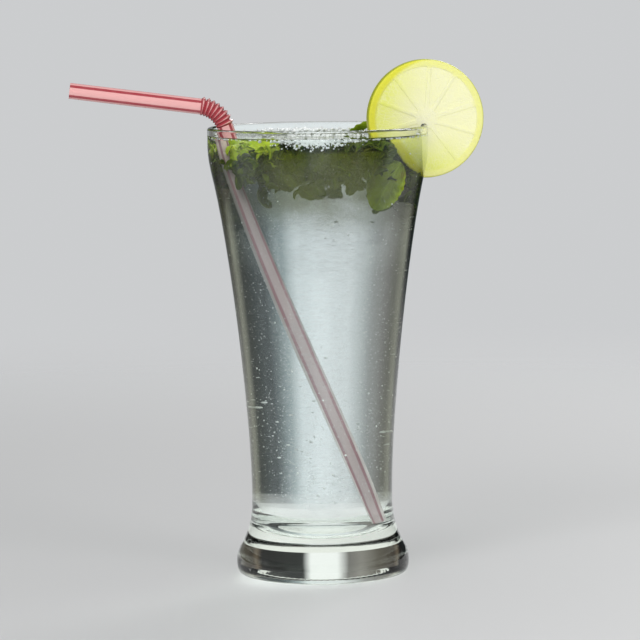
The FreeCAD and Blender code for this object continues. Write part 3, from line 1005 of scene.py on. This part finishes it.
@dataclass
class Mint:
    """The mint: leaves that break the surface, the bed afloat under it, and one large bright leaf."""

    glass: Glass
    slice: LimeSlice
    level: float
    seed: int = 7
    ovals: int = 30
    smalls: int = 150
    crumbs: int = 520
    tries: int = 60
    straw_top: Vector = Vector((-0.0345, -0.0123, 0.171))
    straw_foot: Vector = Vector((0.0177, -0.0072, 0.0195))
    straw_room: float = 0.0033
    wall_room: float = 0.0004
    wall_reach: float = 0.0385
    wall_spread: float = 0.004
    open_reach: float = 0.036
    bed_depth: float = 0.0125
    slice_side_depth: float = 0.010
    kinds: list[bpy.types.Object] = field(default_factory=list)
    outlines: dict[str, list[Vector]] = field(default_factory=dict)

    def clear_of_straw(self, point: Vector) -> bool:
        """True if a point lies outside the straw."""
        along = (self.straw_top - self.straw_foot).normalized()
        away = point - self.straw_foot
        return (away - along * away.dot(along)).length > self.straw_room

    def fits(self, leaf: bpy.types.Object, move: Matrix, top: float) -> bool:
        """Tests whether a leaf is in the drink and clear of the wall, the slice and the straw.

        Args:
            leaf: the kind of leaf.
            move: where it would lie.
            top: the greatest height that it may reach.

        Returns:
            True if it fits.
        """
        for place in self.outlines[leaf.name]:
            point = move @ place
            wall = self.glass.inner_radius(point.z) - self.wall_room
            if point.z > top or math.hypot(point.x, point.y) > wall:
                return False
            if self.slice.holds(point) or not self.clear_of_straw(point):
                return False
        return True

    def lay(self, leaf: bpy.types.Object, spot: LeafSpot) -> bpy.types.Object:
        """Puts a copy of a leaf at its spot, with its own tone."""
        twin = copy_of(leaf)
        twin.matrix_world = spot.matrix()
        tones = twin.data.attributes["tone"].data
        tones.foreach_set("value", [spot.tone] * len(tones))
        return twin

    def build(self) -> None:
        """Makes and dresses all the mint."""
        material = LeafFinish().build()
        self.kinds = [
            LeafShape("leaf_fresh", 0.0160, 0.0104, 7, 8, 0.10, 0.10).build(),
            LeafShape("leaf_oval", 0.0125, 0.0086, 5, 6, 0.16, 0.16).build(),
            LeafShape("leaf_small", 0.0080, 0.0058, 2, 4, -0.18, 0.14, 0).build(),
            LeafShape("leaf_crumb", 0.0046, 0.0030, 2, 2, 0.22, 0.20, 0).build(),
        ]
        for kind in self.kinds:
            dress(kind, material)
            self.outlines[kind.name] = [v.co.copy() for v in kind.data.vertices][::5]
        fresh, oval, small, crumb = self.kinds
        settle(self.build_bed("mint_bed", [oval] * self.ovals + [small] * self.smalls))
        settle(self.build_bed("mint_crumbs", [crumb] * self.crumbs))
        settle(self.build_large_leaf())
        for name, spot in self.surface_spots().items():
            settle(join_all("fresh_" + name, [self.lay(fresh, spot)]), name)
        for kind in self.kinds:
            bpy.data.objects.remove(kind)

    def surface_spots(self) -> dict[str, LeafSpot]:
        """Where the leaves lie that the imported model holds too."""
        rear = Vector((0.0100, 0.0255, self.level - 0.0050))
        left = Vector((-0.0098, -0.0272, self.level - 0.0062))
        right = Vector((0.0200, -0.0250, self.level - 0.0073))
        # Their tones are painted light on the leaf at the left and painted shade on the one at the right.
        return {
            "mint_leaf_rear": LeafSpot(rear, (-30, -42, 12), 0.92, 0.48),
            "mint_leaf_left": LeafSpot(left, (-32, -22, 166), 1.0, 1.0),
            "mint_leaf_right": LeafSpot(right, (50, -24, 52), 0.70, 0.06),
        }

    def build_large_leaf(self) -> bpy.types.Object:
        """The broad bright leaf that hangs deep on the right."""
        shape = LeafShape("leaf_large", 0.0200, 0.0165, 8, 8, 0.10, 0.08).build()
        dress(shape, self.kinds[0].data.materials[0])
        spot = LeafSpot(Vector((0.0290, -0.0215, 0.1585)), (-84, 60, 186), 1.0, 0.46)
        leaf = self.lay(shape, spot)
        bpy.data.objects.remove(shape)
        return join_all("mint_large_leaf", [leaf])

    def bed_spot(self, chance: random.Random, flat: bool) -> LeafSpot:
        """A chance place in the bed: half near the wall, deeper on the slice's side, flat leaves high up.

        Args:
            chance: the source of the draws.
            flat: True for a leaf that lies nearly level.

        Returns:
            The leaf's spot, bright near the surface at the left and dull elsewhere: painted light and shade
            in its tone.
        """
        bearing = chance.uniform(0, 2 * math.pi)
        near_wall = chance.random() < 0.5
        if near_wall:
            reach = self.wall_reach - abs(chance.gauss(0, self.wall_spread))
        else:
            reach = self.open_reach * math.sqrt(chance.random())
        x, y = reach * math.cos(bearing), reach * math.sin(bearing)
        lobes = 1.0 + 0.28 * math.sin(3.0 * bearing + 1.0)
        deep = (self.bed_depth + self.slice_side_depth * max(0.0, x / 0.037)) * lobes
        drop = 0.0015 + deep * chance.random() ** 1.25 * (0.6 if flat else 1.0)
        # Painted light and shade: a leaf high up at the front left gets a bright tone, the rest a dull one
        # that differs at random.
        tone = 0.20 * chance.random() ** 1.5
        if x < -0.014 and y < 0.012 and drop < 0.0055:
            tone = chance.uniform(0.55, 1.0)
        lean = 0.5 if flat else 1.0
        turns = (lean * chance.gauss(0, 42), lean * chance.gauss(0, 32), chance.uniform(0, 360))
        return LeafSpot(Vector((x, y, self.level - drop)), turns, chance.uniform(0.75, 1.15), tone)

    def hides_slice(self, at: Vector) -> bool:
        """True if a place lies high up in front of the slice."""
        return at.x > 0.024 and -0.031 < at.y < 0.004 and at.z > self.level - 0.013

    def build_bed(self, name: str, kinds: Sequence[bpy.types.Object]) -> bpy.types.Object:
        """Lays crushed leaves afloat under the surface.

        Args:
            name: name of the piece.
            kinds: one kind of leaf for each leaf to lay.

        Returns:
            The leaves as one mesh.
        """
        chance = random.Random(f"{self.seed} {name}")
        pieces: list[bpy.types.Object] = []
        for kind in kinds:
            for _ in range(self.tries):
                spot = self.bed_spot(chance, kind.name == "leaf_oval")
                if not self.hides_slice(spot.at) and self.fits(kind, spot.matrix(), self.level + 0.0003):
                    pieces.append(self.lay(kind, spot))
                    break
        LOG.info("%s of %d leaves", name, len(pieces))
        return join_all(name, pieces)


# ---- bubbles ----------------------------------------------------------------------------------
@dataclass
class Fizz:
    """Bubbles on the wall, in the drink and in a foam at the surface, each kind one joined mesh."""

    glass: Glass
    level: float
    seed: int = 21
    squash: float = 0.93
    wall_gap: float = 0.0002
    on_wall: int = 520
    rising: int = 4200
    on_front: int = 460
    in_ring: int = 300
    foam_reach: float = 0.0388
    ring_reach: float = 0.0394

    def scatter(self, name: str, balls: Iterable[tuple[Vector, float]], sides: int) -> bpy.types.Object:
        """Joins one small ball, a little flattened, for each place to a single mesh.

        Args:
            name: name of the piece.
            balls: centre and radius of each ball.
            sides: how many sides each ball has round its axis.

        Returns:
            The joined piece.
        """
        clear_selection()
        bpy.ops.mesh.primitive_uv_sphere_add(segments=sides, ring_count=sides // 2 + 1, radius=1.0)
        ball = bpy.context.object
        ball.name = name
        bpy.ops.object.mode_set(mode="EDIT")
        bpy.ops.mesh.select_all(action="SELECT")
        bpy.ops.transform.resize(value=(1, 1, self.squash))
        bpy.ops.object.mode_set(mode="OBJECT")
        master = bmesh.new()
        master.from_mesh(ball.data)
        gathered = bmesh.new()
        for centre, radius in balls:
            made = {v: gathered.verts.new(centre + v.co * radius) for v in master.verts}
            for face in master.faces:
                gathered.faces.new([made[v] for v in face.verts]).smooth = True
        gathered.to_mesh(ball.data)
        gathered.free()
        master.free()
        return ball

    def size(self, chance: random.Random, least: float, more: float, power: float = 2.0) -> float:
        """A chance radius, near the least one more often than not."""
        return least + more * chance.random() ** power

    def clinging(self, bearing: float, height: float, radius: float) -> tuple[Vector, float]:
        """A ball that clings to the inside of the wall."""
        reach = self.glass.inner_radius(height) - radius - self.wall_gap
        return at_bearing(reach, bearing, height), radius

    def wall_balls(self) -> list[tuple[Vector, float]]:
        """Bubbles that cling to the inside of the wall, thickest low down."""
        chance = random.Random(self.seed)
        balls = []
        for _ in range(self.on_wall):
            if chance.random() < 0.6:
                height = chance.triangular(0.024, 0.085, 0.055)
            else:
                height = chance.uniform(0.03, self.level - 0.003)
            radius = self.size(chance, 0.00012, 0.00034, 2.5)
            balls.append(self.clinging(chance.uniform(0, 2 * math.pi), height, radius))
        return balls

    def rising_balls(self) -> list[tuple[Vector, float]]:
        """Fine bubbles throughout the drink."""
        chance = random.Random(self.seed + 1)
        balls = []
        for _ in range(self.rising):
            height = chance.uniform(0.022, self.level - 0.004)
            reach = (self.glass.inner_radius(height) - 0.001) * math.sqrt(chance.random())
            bearing = chance.uniform(0, 2 * math.pi)
            balls.append((at_bearing(reach, bearing, height), self.size(chance, 0.00007, 0.00012)))
        return balls

    def patch_balls(self, chance: random.Random) -> list[tuple[Vector, float]]:
        """Foam in three patches afloat, heaped up towards the back."""
        patches = ((Vector((-0.006, 0.028, 0)), 0.008, 520), (Vector((0.000, -0.0345, 0)), 0.007, 560),
                   (Vector((0.004, 0.008, 0)), 0.010, 120))
        balls = []
        for hub, spread, count in patches:
            for _ in range(count):
                spot = hub + Vector((chance.gauss(0, spread), chance.gauss(0, spread * 0.35), 0))
                if math.hypot(spot.x, spot.y) < self.foam_reach:
                    radius = self.size(chance, 0.0002, 0.0006)
                    heap = 0.0018 * chance.random() if spot.y > 0.02 else 0.0
                    balls.append((spot + Vector((0, 0, self.level + radius * 0.3 + heap)), radius))
        return balls

    def foam_balls(self) -> list[tuple[Vector, float]]:
        """Foam: patches afloat, a clump on the front wall, and a ring at the wall."""
        chance = random.Random(self.seed + 2)
        balls = self.patch_balls(chance)
        for _ in range(self.on_front):
            bearing = math.radians(-91 + chance.gauss(0, 8))
            height = self.level + 0.0008 - abs(chance.gauss(0, 0.0013))
            balls.append(self.clinging(bearing, height, self.size(chance, 0.00015, 0.0004)))
        for _ in range(self.in_ring):
            bearing = chance.uniform(0, 2 * math.pi)
            radius = self.size(chance, 0.00018, 0.00045)
            reach = self.ring_reach - radius - 0.0006 * chance.random()
            balls.append((at_bearing(reach, bearing, self.level + 0.0006), radius))
        return balls

    def build(self) -> None:
        """Makes and dresses all bubbles."""
        material = BubbleFinish().build()
        kinds = (("wall_bubbles", self.wall_balls(), 8), ("rising_bubbles", self.rising_balls(), 5),
                 ("surface_foam", self.foam_balls(), 8))
        for name, balls, sides in kinds:
            piece = self.scatter(name, balls, sides)
            dress(piece, material)
            settle(piece)


# ---- the studio -------------------------------------------------------------------------------
@dataclass
class Studio:
    """A plain pale floor and background, soft lamps, the camera, and what glass and gloss show.

    Rays that gloss mirrors or that come through glass meet a ring of dark and bright fields, and not
    the plain background.  Rays that rise more meet a second ring.
    """

    pale: Rgb = (0.60, 0.61, 0.62)
    surround: float = 0.44
    gloss_dimmed: float = 0.68
    ring: tuple[Stop, ...] = (
        (0.0, (0.46, 0.46, 0.42)), (0.10, (0.21, 0.205, 0.19)), (0.19, (0.22, 0.215, 0.205)),
        (0.28, (0.32, 0.325, 0.32)), (0.322, (0.47, 0.49, 0.49)), (0.40, (0.75, 0.785, 0.80)),
        (0.577, (0.74, 0.80, 0.82)), (0.622, (0.31, 0.37, 0.385)), (0.678, (0.12, 0.153, 0.162)),
        (0.722, (0.046, 0.060, 0.065)), (0.90, (0.035, 0.045, 0.043)), (1.0, (0.46, 0.46, 0.42)))
    raised_ring: tuple[Stop, ...] = (
        (0.0, (0.07, 0.06, 0.05)), (0.17, (0.12, 0.11, 0.09)), (0.30, (0.27, 0.26, 0.24)),
        (0.37, (0.20, 0.195, 0.185)), (0.43, (0.97, 0.99, 0.99)), (0.56, (0.98, 1.0, 1.0)),
        (0.60, (0.03, 0.033, 0.033)), (0.88, (0.014, 0.014, 0.015)), (0.94, (0.15, 0.12, 0.09)),
        (1.0, (0.07, 0.06, 0.05)))
    repeats: int = 4
    raised: tuple[float, float] = (0.11, 0.17)
    high: tuple[float, float] = (0.335, 0.40)
    high_field: Rgb = (0.88, 0.90, 0.86)
    low: tuple[float, float] = (-0.32, -0.52)
    low_field: Rgb = (0.54, 0.55, 0.56)
    eye: Vector = Vector((0.0, -1.35, 0.235))
    down: float = math.radians(5.84)
    lean: float = math.radians(0.72)
    lens: float = 199.7

    def build_floor(self) -> None:
        """Lays the floor."""
        clear_selection()
        start = {"radius": 1.0, "location": (0, 0, -0.0003)}
        bpy.ops.mesh.primitive_circle_add(vertices=96, fill_type="NGON", **start)
        floor = bpy.context.object
        floor.name = "floor"
        bpy.ops.object.mode_set(mode="EDIT")
        bpy.ops.mesh.select_all(action="SELECT")
        bpy.ops.mesh.inset(thickness=0.6)
        bpy.ops.object.mode_set(mode="OBJECT")
        dress(floor, FloorFinish().build())

    def build_lamp(self, name: str, at: Vector, aim: Vector, size: tuple[float, float], power: float,
                   seen: bool = False) -> None:
        """Hangs a soft lamp, which rays through glass don't meet.

        Args:
            name: name of the lamp.
            at: where it hangs.
            aim: the point that it faces.
            size: its width and height.
            power: its power in watts.
            seen: True if gloss mirrors it.
        """
        lamp = bpy.data.lights.new(name, "AREA")
        lamp.shape = "ELLIPSE"
        lamp.size, lamp.size_y = size
        lamp.energy = power
        holder = bpy.data.objects.new(name, lamp)
        bpy.context.scene.collection.objects.link(holder)
        holder.location = at
        holder.visible_transmission = False
        holder.visible_glossy = seen
        holder.rotation_euler = (aim - at).to_track_quat("-Z", "Y").to_euler()

    def build_surround(self) -> None:
        """Sets the plain background, the light in the shade, and the two rings for glass and gloss."""
        world = bpy.data.worlds.new("surround")
        bpy.context.scene.world = world
        world.use_nodes = True
        world.node_tree.nodes.clear()
        tree = Tree(world.node_tree)
        way = tree.node("ShaderNodeTexCoord").outputs["Generated"]
        x, y, z = tree.split(way)
        turn = tree.times_plus(tree.math("ARCTAN2", x, y), self.repeats / (2.0 * math.pi), 0.5)
        bearing = tree.math("FRACT", turn)
        rings = (tree.ramp(bearing, self.ring), tree.ramp(bearing, self.raised_ring))
        sides = tree.mix(tree.step(z, *self.raised), *rings)
        above = tree.mix(tree.step(z, *self.high), sides, self.high_field)
        around = tree.mix(tree.step(z, *self.low), above, self.low_field)
        path = tree.node("ShaderNodeLightPath")
        gloss, through = path.outputs["Is Glossy Ray"], path.outputs["Is Transmission Ray"]
        seen_in = tree.math("MAXIMUM", through, gloss)
        mirrored = tree.times(gloss, tree.minus(1.0, through))
        shown = tree.mix(tree.times(mirrored, self.gloss_dimmed), around, (0.0, 0.0, 0.0))
        lit = tree.mix(seen_in, (self.surround,) * 3, shown)
        colour = tree.mix(path.outputs["Is Camera Ray"], lit, self.pale)
        sky = tree.node("ShaderNodeBackground", {"Color": colour, "Strength": 1.0})
        tree.node("ShaderNodeOutputWorld", {"Surface": sky.outputs[0]})

    def build_camera(self) -> None:
        """Places the camera."""
        lens = bpy.data.cameras.new("camera")
        lens.lens = self.lens
        lens.sensor_width = 36.0
        lens.clip_start = 0.05
        camera = bpy.data.objects.new("camera", lens)
        bpy.context.scene.collection.objects.link(camera)
        tilt = Matrix.Rotation(math.radians(90) - self.down, 4, "X")
        camera.matrix_world = Matrix.Translation(self.eye) @ tilt @ Matrix.Rotation(-self.lean, 4, "Z")
        bpy.context.scene.camera = camera

    def build(self) -> None:
        """Sets everything round the object."""
        middle = Vector((0.0, 0.0, 0.10))
        self.build_floor()
        self.build_lamp("key", Vector((-0.75, -1.25, 0.85)), middle, (1.0, 1.0), 14.0)
        self.build_lamp("fill", Vector((1.05, -1.0, 0.6)), middle, (0.8, 0.8), 7.0)
        self.build_lamp("rear", Vector((0.5, 1.2, 0.9)), middle, (0.8, 0.8), 9.5, True)
        self.build_surround()
        self.build_camera()
        bpy.context.scene.view_settings.view_transform = "Standard"


def main() -> None:
    """Builds and dresses every piece in order."""
    logging.basicConfig(level=logging.INFO, format="%(message)s")
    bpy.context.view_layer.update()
    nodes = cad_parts
    glass = Glass(nodes["glass"])
    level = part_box("drink")[1].z
    lime = LimeSlice(nodes["lime_slice"])
    glass.dress()
    drink = Drink(glass, level)
    drink.build()
    drink.build_haze()
    Straw(nodes["straw"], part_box("glass")[1].z, level).dress()
    lime.dress()
    Mint(glass, lime, level).build()
    Fizz(glass, level).build()
    Studio().build()


if __name__ == "__main__":
    main()
